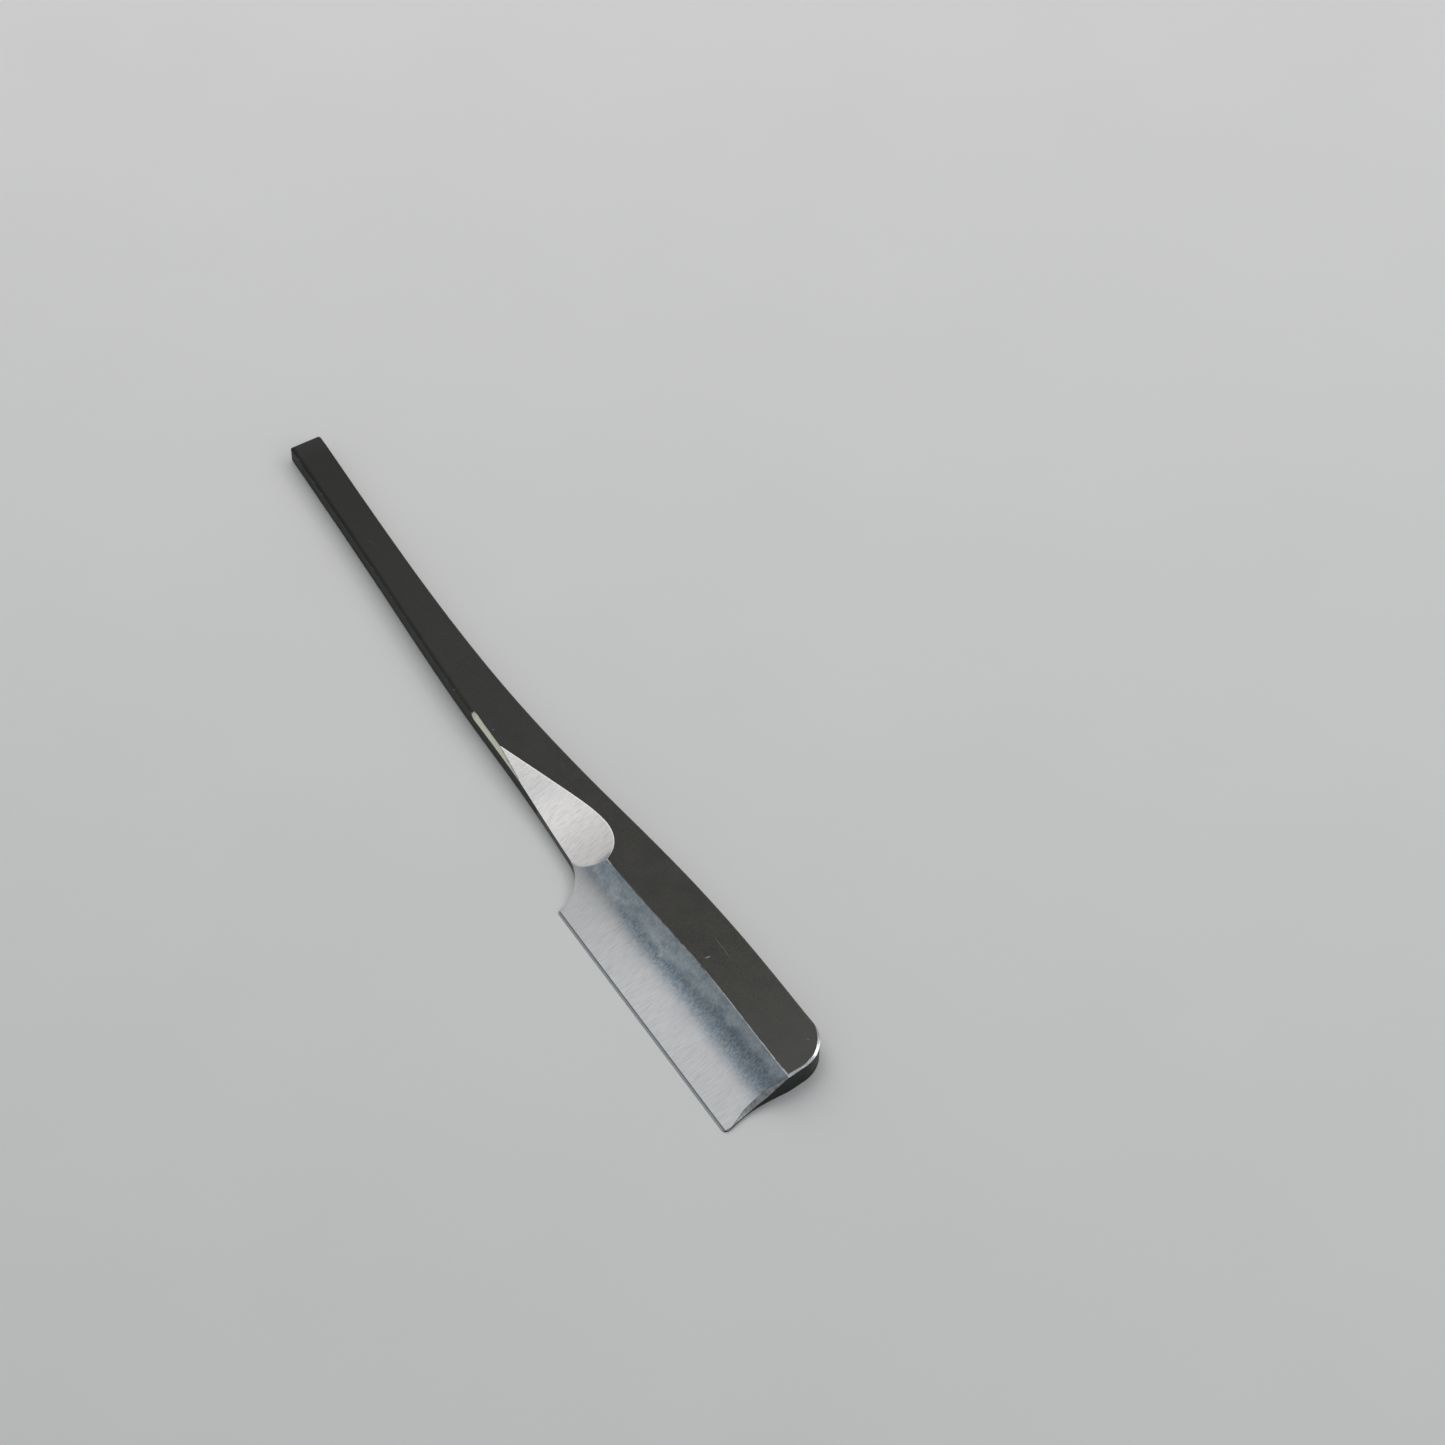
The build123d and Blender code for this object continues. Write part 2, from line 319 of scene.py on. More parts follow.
def outline():
    """The closed outline, counter-clockwise, with the front and back chamfer at each point."""
    notch_head = UNDERSIDE[-1]
    reach = 0.1
    slope = (underside_y(notch_head[0]) - underside_y(notch_head[0] - reach)) / reach
    beside_bottom = (TANG_SIDE_REACH, underside_y(TANG_SIDE_REACH))
    beside_top = (TANG_SIDE_REACH, spine_y(TANG_SIDE_REACH))
    above_tip = (toe_side_x(TOE_SIDE_REACH), TOE_SIDE_REACH)
    before_corner = (SPINE[-1][0], TOE_TOP[1])
    bottom_arc = rounded(TANG_END_TOP, TANG_END_BOTTOM, beside_bottom, TANG_CORNER_RADIUS, FINE_STEP)
    top_arc = rounded(beside_top, TANG_END_TOP, TANG_END_BOTTOM, TANG_CORNER_RADIUS, FINE_STEP)
    tip_arc = rounded(HEEL, TOE_TIP, above_tip, TOE_CORNER_RADIUS, FINE_STEP)
    corner_arc = rounded(TOE_SIDE[0], TOE_TOP, before_corner, SPINE_CORNER_RADIUS, CURVE_STEP)
    side_y = spread((0, tip_arc[-1][1]), (0, TOE_SIDE[0][1]), CURVE_STEP)[1:, 1]
    toe_side = np.column_stack([toe_side_x(side_y), side_y])
    tail_x = TAIL_BORDER[0][0]
    stretches = [
        ("tang_end", bottom_arc),
        ("tang_underside", along(underside_y, bottom_arc[-1][0], tail_x, OUTLINE_STEP)[1:]),
        ("ground_underside", along(underside_y, tail_x, notch_head[0], OUTLINE_STEP)),
        ("notch", tangent_arc(notch_head, (1, slope), NOTCH_FOOT, CURVE_STEP)),
        ("heel", spread(NOTCH_FOOT, HEEL, CURVE_STEP)),
        ("cutting_edge", spread(HEEL, tip_arc[0], OUTLINE_STEP)),
        ("cutting_edge", tip_arc),
        ("toe", toe_side),
        ("toe", spread(TOE_SIDE[0], corner_arc[0], OUTLINE_STEP)),
        ("spine_corner", corner_arc),
        ("spine", along(spine_y, corner_arc[-1][0], top_arc[0][0], OUTLINE_STEP)[1:]),
        ("tang_end", top_arc),
        ("tang_end", spread(top_arc[-1], bottom_arc[0], OUTLINE_STEP)[1:]),
    ]
    points = np.vstack([points for _, points in stretches])
    chamfers = np.vstack([np.tile(CHAMFERS[name], (len(points), 1)) for name, points in stretches])
    front, back = chamfers.T
    return points, evened(front, CHAMFER_BLEND), evened(back, CHAMFER_BLEND)


def evened(values, reach):
    """Values round a closed loop, averaged with their neighbours, so that one chamfer runs into the next."""
    rows = [np.roll(values, shift) for shift in range(-reach, reach + 1)]
    return np.mean(rows, axis=0)


def search_tree(points):
    """A tree that finds the nearest of some plan points."""
    tree = kdtree.KDTree(len(points))
    for index, (x, y) in enumerate(points):
        tree.insert((x, y, 0), index)
    tree.balance()
    return tree


OUTLINE, FRONT_CHAMFER, BACK_CHAMFER = outline()
OUTLINE_TREE = search_tree(OUTLINE)


def from_outline(x, y):
    """Distance inwards from the outline, and the front and back chamfers at its nearest point."""
    nearest = np.array([OUTLINE_TREE.find((a, b, 0))[1] for a, b in zip(x, y)])
    point = np.column_stack([x, y])
    count = len(OUTLINE)
    best = np.full(len(x), FAR)
    for shift in (-1, 0):
        start = OUTLINE[(nearest + shift) % count]
        way = OUTLINE[(nearest + shift + 1) % count] - start
        arm = point - start
        t = np.clip(np.sum(arm * way, axis=1) / np.sum(way * way, axis=1), 0, 1)
        away = np.linalg.norm(arm - way * t[:, None], axis=1)
        away = np.where(way[:, 0] * arm[:, 1] < way[:, 1] * arm[:, 0], -away, away)
        best = np.where(np.abs(away) < np.abs(best), away, best)
    return best, FRONT_CHAMFER[nearest], BACK_CHAMFER[nearest]


def front_surface(x, y):
    """Height of the finished front at each point of the plan."""
    height = land(x, y)
    distance, chamfer, _ = from_outline(x, y)
    height = soft_min(height, land(x, y) - chamfer + distance, CHAMFER_SOFTNESS)
    for surface in SURFACES[1:]:
        height = soft_min(height, surface(x, y), EDGE_SOFTNESS)
    return np.maximum(height, EDGE_THICKNESS)


def front_normals(x, y):
    """Directions that the front faces, from its slope along and across."""
    reach = 0.01
    slope_along = (front_surface(x + reach, y) - front_surface(x - reach, y)) / (2 * reach)
    slope_across = (front_surface(x, y + reach) - front_surface(x, y - reach)) / (2 * reach)
    normals = np.column_stack([-slope_along, -slope_across, np.ones_like(x)])
    return normals / np.linalg.norm(normals, axis=1)[:, None]


def back_surface(x, y, front):
    """Height of the finished back: flat, with a shallow hollow behind the cutting edge."""
    low, high = BACK_HOLLOW_Y
    middle, half = (low + high) / 2, (high - low) / 2
    fade = np.clip((BACK_HOLLOW_X[1] - x) / (BACK_HOLLOW_X[1] - BACK_HOLLOW_X[0]), 0, 1) ** 2
    dish = BACK_HOLLOW_DEPTH * (1 - fade - ((y - middle) / half) ** 2)
    dish = -soft_min(-dish, np.zeros_like(x), EDGE_SOFTNESS)
    distance, _, chamfer = from_outline(x, y)
    chamfer = np.minimum(chamfer, front * BACK_CHAMFER_SHARE)
    corner = -soft_min(np.zeros_like(x), distance - chamfer, BACK_SOFTNESS)
    return np.minimum(np.maximum(dish, corner), front - LEAST_THICKNESS)


def weld_height(x):
    """Height of the weld between iron and steel: a scarf near the heel, then level."""
    return STEEL_THICKNESS * np.clip((x - SCARF_BACK_X) / (SCARF_TOP_X - SCARF_BACK_X), 0, 1)


# ---------------------------------------------------------------- plan mesh shared by both pieces
PLAN_STEP_TANG = 1.0
PLAN_STEP_BLADE = 0.5
LINE_STEP = 0.35
SCARF_STEP = 0.4
# Extra rows of points beside every crease, and inside the outline
CREASE_OFFSETS = (0.03, 0.08, 0.16)
RING_DISTANCES = (0.03, 0.08, 0.2, 0.35, 0.5, 0.65, 0.85)
BLADE_START_X = 78.0
GRID_END_X = LENGTH + 1
# Points nearer the outline than the margin are left out, and so are points of a ring that come nearer
# than this share of its distance
OUTLINE_MARGIN = 0.015
RING_SHARE = 0.95
# The filling grid: its lowest and highest row, rows per step, and its room round other points per step
GRID_Y = (0.2, 24.0)
GRID_ROW = 0.87
GRID_ROOM = 0.45
POINT_TOLERANCE = 1e-4

# Where creases are looked for: how far they stop short, and the number of points on each
CREASE_STOP = 0.02
RIDGE_LINE_START_X = 121.0
SEAM_Y = (3.0, 11.8)
SEAM_POINTS = 30
WELD_START_X = SCARF_BACK_X + 2
WELD_LINE_Y = (4.0, 15.0)
WELD_POINTS = 260
RIM_POINTS = 90


def crossing_y(x, difference, low, high):
    """For each x, the y between low and high at which a rising difference passes zero."""
    low, high = np.broadcast_to(low, x.shape).astype(float), np.broadcast_to(high, x.shape).astype(float)
    halvings = 40
    for _ in range(halvings):
        middle = (low + high) / 2
        above = difference(x, middle) > 0
        high = np.where(above, middle, high)
        low = np.where(above, low, middle)
    return (low + high) / 2


def inside(points):
    """Whether each point lies inside the outline, by counting crossings."""
    x, y = points[:, 0][:, None], points[:, 1][:, None]
    x1, y1 = OUTLINE.T
    x2, y2 = np.roll(OUTLINE, -1, axis=0).T
    straddles = (y1 > y) != (y2 > y)
    run = np.where(y2 == y1, 1, y2 - y1)
    crossings = straddles & (x < (x2 - x1) * (y - y1) / run + x1)
    return crossings.sum(axis=1) % 2 == 1


def parallels(line, distances):
    """Copies of a line moved sideways to both sides by each distance."""
    way = np.gradient(line, axis=0)
    way /= np.linalg.norm(way, axis=1)[:, None]
    side = np.column_stack([-way[:, 1], way[:, 0]])
    return [line + side * shift * sign for shift in distances for sign in (-1, 1)]


def open_line(curve, start_x, end_x):
    """Points on a curve from one x to another, with both ends."""
    x = np.linspace(start_x, end_x, max(3, math.ceil(abs(end_x - start_x) / LINE_STEP)))
    return np.column_stack([x, curve(x)])


def crease_lines():
    """The plan lines along which two surfaces of the front meet, and the weld line."""
    leaf_end = LEAF_BORDER[-1][0] - CREASE_STOP
    seam_x = np.linspace(HOLLOW_START_X + CREASE_STOP, leaf_end, SEAM_POINTS)
    seam_y = crossing_y(seam_x, lambda x, y: hollow(x, y) - leaf(x, y), *SEAM_Y)
    weld_x = np.linspace(WELD_START_X, TOE_TIP[0], WELD_POINTS)
    weld_y = crossing_y(weld_x, lambda x, y: front_surface(x, y) - weld_height(x), *WELD_LINE_Y)
    rim_y = np.linspace(TOE_RIM[0][0], TOE_RIM[-1][0], RIM_POINTS)
    return {
        "ridge": open_line(ridge_y, RIDGE_LINE_START_X, LENGTH),
        "leaf": open_line(leaf_border_y, LEAF_BORDER[0][0], leaf_end),
        "tail": open_line(tail_border_y, TAIL_BORDER[0][0], TAIL_BORDER[-1][0]),
        "seam": np.column_stack([seam_x, seam_y]),
        "bevel": open_line(lambda x: np.full_like(x, BEVEL_TOP_Y), HEEL[0] - 1, TOE_TIP[0]),
        "rim": np.column_stack([toe_rim_x(rim_y), rim_y]),
        "weld": np.column_stack([weld_x, weld_y]),
    }


def plan_mesh():
    """Triangles over the whole plan, fine where surfaces meet, and the lines they were built on."""
    lines = crease_lines()
    count = len(OUTLINE)
    points = [OUTLINE]
    edges = [(i, (i + 1) % count) for i in range(count)]
    kept_lines = []
    for line in lines.values():
        line = line[inside(line)]
        away, _, _ = from_outline(*line.T)
        kept_lines.append(line[away > OUTLINE_MARGIN])
    scarf_foot = (SCARF_BACK_X, underside_y(SCARF_BACK_X))
    scarf_head = (SCARF_BACK_X, spine_y(SCARF_BACK_X))
    scarf = spread(scarf_foot, scarf_head, SCARF_STEP)[1:]
    scarf_top = scarf + (SCARF_TOP_X - SCARF_BACK_X, 0)
    kept_lines += [scarf, scarf_top[inside(scarf_top)]]
    total = count
    for line in kept_lines:
        points.append(line)
        edges += [(total + i, total + i + 1) for i in range(len(line) - 1)]
        total += len(line)

    loose = []
    for line in lines.values():
        loose += parallels(line, CREASE_OFFSETS)
    way = np.roll(OUTLINE, -1, axis=0) - np.roll(OUTLINE, 1, axis=0)
    way /= np.linalg.norm(way, axis=1)[:, None]
    inward = np.column_stack([-way[:, 1], way[:, 0]])
    for distance in RING_DISTANCES:
        ring = OUTLINE + inward * distance
        away, _, _ = from_outline(*ring.T)
        loose.append(ring[away > distance * RING_SHARE])
    tree = search_tree(np.vstack(points + loose))
    tang = (0, BLADE_START_X, PLAN_STEP_TANG)
    blade = (BLADE_START_X, GRID_END_X, PLAN_STEP_BLADE)
    for start, end, step in (tang, blade):
        rows = []
        for row, y in enumerate(np.arange(*GRID_Y, step * GRID_ROW)):
            x = np.arange(start + (row % 2) * step / 2, end, step)
            rows.append(np.column_stack([x, np.full_like(x, y)]))
        grid = np.vstack(rows)
        spare = np.array([tree.find((a, b, 0))[2] > step * GRID_ROOM for a, b in grid])
        loose.append(grid[spare])
    loose = np.vstack(loose)
    loose = loose[inside(loose)]
    away, _, _ = from_outline(*loose.T)
    loose = loose[away > OUTLINE_MARGIN]
    points = np.vstack(points + [loose])
    found = delaunay_2d_cdt([Vector(p) for p in points], edges, [], 0, POINT_TOLERANCE, False)
    plan = np.array([tuple(p) for p in found[0]])
    triangles = np.array(found[2])
    return plan, triangles[inside(plan[triangles].mean(axis=1))], lines


PLAN, TRIANGLES, LINES = plan_mesh()
PLAN_X, PLAN_Y = PLAN.T
FRONT = front_surface(PLAN_X, PLAN_Y)
FRONT_NORMALS = front_normals(PLAN_X, PLAN_Y)
BACK = back_surface(PLAN_X, PLAN_Y, FRONT)
WELD = weld_height(PLAN_X)
AWAY, _, _ = from_outline(PLAN_X, PLAN_Y)
WELD_Y = np.interp(PLAN_X, *LINES["weld"].T)


def place(x, y, z):
    """Millimetres on the drawing to metres in the row frame, where the box's bottom centre is the origin."""
    low, high = CAD_BOX
    centre_x = (low[0] + high[0]) / 2
    half_length = (high[0] - low[0]) / 2
    return np.column_stack([centre_x - half_length + x * MM, low[1] + y * MM, low[2] + z * MM])


def surface_at(x, y):
    """Which surface forms the front at each point; the scale laps over the ridge, except near the toe."""
    heights = np.array([surface(x, y) for surface in SURFACES])
    heights[LAND] -= np.where((x > LEAF_BORDER[-1][0]) & (x < SCALE_LAP_END_X), SCALE_LAP, 0.0)
    return np.argmin(heights, axis=0)


# Thinner than this, a slab's two faces share their points; edges sharper than the angle stay sharp
THIN = 2e-3
SHARP_ANGLE = math.radians(28)
ATTRIBUTE_REACH = 20


def slab(name, upper, lower, materials, paint):
    """A closed solid between two heights over the plan, left out where it has no thickness.

    paint: for the front, the back and the walls, which material each face has, by its middle.
    """
    shared = upper - lower < THIN
    kept = TRIANGLES[~shared[TRIANGLES].all(axis=1)]
    used = np.unique(kept)
    top_id = np.full(len(PLAN), -1)
    top_id[used] = np.arange(len(used))
    low_used = used[~shared[used]]
    low_id = top_id.copy()
    low_id[low_used] = len(used) + np.arange(len(low_used))
    source = np.concatenate([used, low_used])
    height = np.concatenate([upper[used], lower[low_used]])
    sides = {}
    for triangle in kept:
        for i in range(3):
            a, b = triangle[i], triangle[(i + 1) % 3]
            sides[(a, b)] = sides.get((a, b), 0) + 1
    faces = []
    kinds = []
    middle = PLAN[kept].mean(axis=1)
    top_kind, low_kind, wall_kind = paint
    for face, kind in zip(kept, top_kind(middle)):
        faces.append([top_id[v] for v in face])
        kinds.append(kind)
    for face, kind in zip(kept, low_kind(middle)):
        faces.append([low_id[v] for v in face[::-1]])
        kinds.append(kind)
    rim_edges = [(a, b) for a, b in sides if (b, a) not in sides and not (shared[a] and shared[b])]
    wall_middle = np.array([(PLAN[a] + PLAN[b]) / 2 for a, b in rim_edges])
    for (a, b), kind in zip(rim_edges, wall_kind(wall_middle)):
        wall = [low_id[a], low_id[b], top_id[b], top_id[a]]
        faces.append(list(dict.fromkeys(wall)))
        kinds.append(kind)
    vertices = [tuple(p) for p in place(*PLAN[source].T, height)]
    mesh = bpy.data.meshes.new(name)
    mesh.from_pydata(vertices, [], [[int(v) for v in face] for face in faces])
    for material in materials:
        mesh.materials.append(material)
    mesh.polygons.foreach_set("material_index", np.array(kinds, np.int32))
    mesh.polygons.foreach_set("use_smooth", np.ones(len(faces), bool))
    depth = np.concatenate([(FRONT - upper)[used], (FRONT - lower)[low_used]])
    for label, values in (
        ("away", AWAY[source] + depth),
        ("weld", (PLAN_Y - WELD_Y)[source]),
        ("ridge", (PLAN_Y - ridge_y(PLAN_X))[source]),
        ("leaf", (leaf_border_y(PLAN_X) - PLAN_Y)[source]),
    ):
        attribute = mesh.attributes.new(label, "FLOAT", "POINT")
        values = np.clip(values, -ATTRIBUTE_REACH, ATTRIBUTE_REACH)
        attribute.data.foreach_set("value", values.astype(np.float32))
    mesh.update()
    mesh.set_sharp_from_angle(angle=SHARP_ANGLE)
    corners = np.zeros(len(mesh.loops) * 3, np.float32)
    mesh.corner_normals.foreach_get("vector", corners)
    corners = corners.reshape(-1, 3)
    corners[:kept.size] = FRONT_NORMALS[kept.ravel()]
    mesh.normals_split_custom_set([tuple(n) for n in corners])
    piece = bpy.data.objects.new(name, mesh)
    bpy.context.scene.collection.objects.link(piece)
    return piece


# ---------------------------------------------------------------- materials
class Look:
    """A material under construction: short calls for the nodes and links that it needs."""

    def __init__(self, name):
        self.material = bpy.data.materials.new(name)
        self.material.use_nodes = True
        self.tree = self.material.node_tree
        self.shader = self.tree.nodes["Principled BSDF"]
        coordinates = self.tree.nodes.new("ShaderNodeTexCoord").outputs["Object"]
        scaled = self.vector("MULTIPLY", coordinates, (1 / MM,) * 3)
        self.place = self.vector("ADD", scaled, (LENGTH / 2, OUTLINE[:, 1].max() / 2, 0))
        self.x, self.y, _ = self.node("ShaderNodeSeparateXYZ", {"Vector": self.place}).outputs

    def node(self, kind, inputs=None, **settings):
        """A new node with its inputs fed and its settings made."""
        made = self.tree.nodes.new(kind)
        for key, value in settings.items():
            setattr(made, key, value)
        for key, value in (inputs or {}).items():
            self.feed(made.inputs[key], value)
        return made

    def feed(self, socket, value):
        """Link an output to a socket, or set the socket to a plain value."""
        if isinstance(value, bpy.types.NodeSocket):
            self.tree.links.new(value, socket)
        else:
            socket.default_value = value

    def vector(self, operation, a, b):
        """A sum, difference or product of two vectors."""
        return self.node("ShaderNodeVectorMath", {0: a, 1: b}, operation=operation).outputs[0]

    def math(self, operation, a, b=0.0):
        """One step of arithmetic on plain values."""
        return self.node("ShaderNodeMath", {0: a, 1: b}, operation=operation).outputs[0]

    def noise(self, scale, detail=3.0, rough=0.55, stretch=(1, 1, 1), turn=0.0):
        """Noise with features about 1/scale mm across; stretch lengthens them along each axis."""
        squeezed = tuple(scale / s for s in stretch)
        mapped = {"Vector": self.place, "Rotation": (0, 0, turn), "Scale": squeezed}
        at = self.node("ShaderNodeMapping", mapped)
        inputs = {"Vector": at.outputs[0], "Scale": 1.0, "Detail": detail, "Roughness": rough}
        return self.node("ShaderNodeTexNoise", inputs).outputs["Fac"]

    def attribute(self, name):
        """A measure in mm that slab() stored on the mesh."""
        return self.node("ShaderNodeAttribute", attribute_name=name).outputs["Fac"]

    def ramp(self, value, low, high, start=0.0, end=1.0, smooth=True):
        """start below low, end above high, and a smooth run between."""
        kind = "SMOOTHSTEP" if smooth else "LINEAR"
        inputs = {"Value": value, "From Min": low, "From Max": high, "To Min": start, "To Max": end}
        return self.node("ShaderNodeMapRange", inputs, interpolation_type=kind).outputs["Result"]

    def blend(self, factor, a, b):
        """A colour between a and b, each a plain colour or an output."""
        mix = self.node("ShaderNodeMix", data_type="RGBA")
        self.feed(mix.inputs["Factor"], factor)
        for socket, value in ((mix.inputs["A"], a), (mix.inputs["B"], b)):
            self.feed(socket, value if isinstance(value, bpy.types.NodeSocket) else (*value, 1))
        return mix.outputs["Result"]

    def mark(self, start, end, width):
        """1 on a short straight stroke between two places, 0 away from it."""
        start, end = Vector((*start, 0)), Vector((*end, 0))
        length = (end - start).length
        way = (end - start) / length
        arm = self.vector("SUBTRACT", self.place, start)
        run = self.node("ShaderNodeVectorMath", {0: arm, 1: way}, operation="DOT_PRODUCT").outputs["Value"]
        side = self.node("ShaderNodeVectorMath", {0: arm, 1: (-way.y, way.x, 0)}, operation="DOT_PRODUCT")
        off = self.math("ABSOLUTE", side.outputs["Value"])
        beyond = self.math("ABSOLUTE", self.math("SUBTRACT", run, length / 2))
        along = self.ramp(beyond, length / 2, length / 2 - 0.3 * length)
        return self.math("MULTIPLY", self.ramp(off, width, width * 0.3), along)

    def bump(self, height, depth, after=None):
        """Bump from a 0 to 1 height that is depth mm deep."""
        made = self.node("ShaderNodeBump", {"Height": height, "Strength": 1.0, "Distance": depth * MM})
        if after is not None:
            self.feed(made.inputs["Normal"], after)
        return made.outputs["Normal"]

    def finish(self, **sockets):
        """The finished material, with the shader's sockets fed; underscores stand for spaces."""
        for name, value in sockets.items():
            self.feed(self.shader.inputs[name.replace("_", " ")], value)
        return self.material


# The grinding lines: how far they lean along the knife, and how far each kind is drawn out
BRUSH_LEAN = 0.09
LINE_STRETCH = (1, 12, 4)
FINE_STRETCH = (1, 18, 4)
HAIR_STRETCH = (1, 40, 4)
STROKE_STRETCH = (1, 24, 4)
STROKE_TURN = 0.05
STROKE_TONE = (0.09, 0.09, 0.09)


def brushed(name, colours, roughness, depth, grain=4.2, anisotropy=0.6, scratched=0.0, extra=None):
    """Ground metal with fine lines across the blade.

    colours: darker and lighter tone. depth: of the lines, in mm. grain: lines per mm, roughly.
    scratched: strength of dark strokes. extra: a function that changes the colour.
    """
    look = Look(name)
    leaned = look.node("ShaderNodeCombineXYZ", {"X": look.math("MULTIPLY", look.y, BRUSH_LEAN)}).outputs[0]
    look.place = look.vector("ADD", look.place, leaned)
    lines = look.noise(grain, 2.0, 0.6, LINE_STRETCH)
    fine = look.noise(grain * 2, 2.0, 0.6, FINE_STRETCH)
    hair = look.noise(grain * 5, 1.0, 0.5, HAIR_STRETCH)
    cloud = look.noise(0.35, 3.0, 0.6, (1, 1.6, 1))
    tone = look.math("ADD", look.math("MULTIPLY", lines, 0.35), look.math("MULTIPLY", fine, 0.45))
    tone = look.math("ADD", tone, look.math("MULTIPLY", cloud, 0.20))
    colour = look.blend(look.ramp(tone, 0.36, 0.64, smooth=False), *colours)
    if scratched:
        strokes = look.ramp(look.noise(grain * 1.5, 2.0, 0.55, STROKE_STRETCH, STROKE_TURN), 0.50, 0.72)
        colour = look.blend(look.math("MULTIPLY", strokes, scratched), colour, STROKE_TONE)
    if extra:
        colour = extra(look, colour, fine)
    rough = look.ramp(look.math("ADD", fine, cloud), 0.6, 1.4, roughness * 0.85, roughness * 1.2)
    normal = look.bump(hair, depth * 0.4, after=look.bump(fine, depth))
    tangent = look.node("ShaderNodeCombineXYZ", {"X": 1.0, "Y": BRUSH_LEAN}).outputs[0]
    return look.finish(
        Base_Color=colour, Metallic=1.0, Roughness=rough, Normal=normal,
        Anisotropic=anisotropy, Tangent=tangent,
    )


# Darker and lighter tone of each finish, then single tones that shade them
STEEL_TONES = ((0.365, 0.37, 0.378), (0.495, 0.50, 0.507))
WELD_TONES = ((0.15, 0.19, 0.225), (0.36, 0.40, 0.43))
IRON_TONES = ((0.45, 0.505, 0.53), (0.62, 0.67, 0.69))
LEAF_TONES = ((0.555, 0.54, 0.535), (0.775, 0.755, 0.745))
# The tail's yellow tint is a painted reflection of warm light.
TAIL_WARM_REFLECTION_TONES = ((0.78, 0.80, 0.63), (0.96, 0.97, 0.80))
RIM_TONES = ((0.78, 0.79, 0.79), (0.90, 0.90, 0.89))
SIDE_SHADE_TONES = ((0.08, 0.08, 0.078), (0.15, 0.15, 0.145))
SCALE_TONES = ((0.0480, 0.0450, 0.0385), (0.0935, 0.0880, 0.0760))
TOE_END_SHADE_TONES = ((0.008, 0.010, 0.008), (0.024, 0.029, 0.023))
FLOOR_TONES = ((0.87, 0.855, 0.83), (0.90, 0.885, 0.86))
BLUE_TONE = (0.22, 0.295, 0.36)
HEEL_SHADE_TONE = (0.10, 0.10, 0.10)
TANG_SHADE_TONE = (0.004, 0.004, 0.0036)
TOE_SHEEN_TONE = (0.125, 0.12, 0.11)
TANG_END_TONE = (0.036, 0.042, 0.038)
BARE_TONE = (0.55, 0.55, 0.53)
LEAF_END_SHADE_TONE = (0.10, 0.095, 0.09)
LEAF_GLINT_TONE = (0.95, 0.93, 0.90)
RIM_SHADE_TONE = (0.12, 0.12, 0.115)
BEVEL_INNER_TONE = (0.38, 0.40, 0.42)
BACK_HOLLOW_TONE = (0.40, 0.43, 0.45)


def iron_over_steel(look, colour, lines):
    """The hollow's two metals: bright steel below the weld line, blue-grey mottled iron above it; painted
    shade darkens the steel towards the heel.
    """
    spots = look.noise(2.0, 5.0, 0.8, (1, 1.4, 1))
    tone = look.math("ADD", look.math("MULTIPLY", spots, 0.65), look.math("MULTIPLY", lines, 0.35))
    tone = look.ramp(tone, 0.38, 0.62)
    dark = look.blend(tone, *WELD_TONES)
    pale = look.blend(tone, *IRON_TONES)
    weld = look.attribute("weld")
    drift = look.math("SUBTRACT", look.noise(0.16, 2.0, 0.6), 0.5)
    rise = look.math("ADD", weld, look.math("MULTIPLY", drift, 4.0))
    rise = look.math("ADD", rise, look.ramp(look.x, 126.0, 174.0, 1.0, -1.2))
    iron = look.blend(look.ramp(rise, 1.1, 3.0), dark, pale)
    blue = look.ramp(look.noise(0.45, 3.0, 0.65, (1.4, 1, 1)), 0.48, 0.66)
    iron = look.blend(look.math("MULTIPLY", blue, 0.42), iron, BLUE_TONE)
    wander = look.math("MULTIPLY", look.math("SUBTRACT", look.noise(0.8, 3.0, 0.7, (1, 1.3, 1)), 0.5), 1.6)
    streaks = look.math("MULTIPLY", look.math("SUBTRACT", lines, 0.5), 3.0)
    lift = look.ramp(look.x, 124.0, 142.0, -1.7, 0.4)
    height = look.math("ADD", look.math("ADD", weld, lift), look.math("ADD", wander, streaks))
    # Painted shade: the steel darkens towards the heel.
    colour = look.blend(look.ramp(look.x, 150.0, 122.0, 0.0, 0.20), colour, HEEL_SHADE_TONE)
    return look.blend(look.ramp(height, -2.5, 0.8), colour, iron)


# Small marks in the scale: from, to, width in mm and how bare they are
SCALE_MARKS = (
    ((146.0, 19.1), (153.4, 18.9), 0.10, 0.16),
    ((149.9, 15.1), (150.1, 16.3), 0.12, 0.75),
    ((173.8, 20.85), (174.1, 20.95), 0.12, 0.5),
    ((176.3, 13.93), (179.3, 13.97), 0.20, 0.95),
    ((84.9, 9.95), (85.2, 10.05), 0.12, 0.5),
    ((30.0, 13.2), (33.5, 14.6), 0.06, 0.10),
    ((61.0, 15.2), (58.2, 12.9), 0.05, 0.08),
    ((97.0, 17.2), (100.8, 16.1), 0.05, 0.08),
)


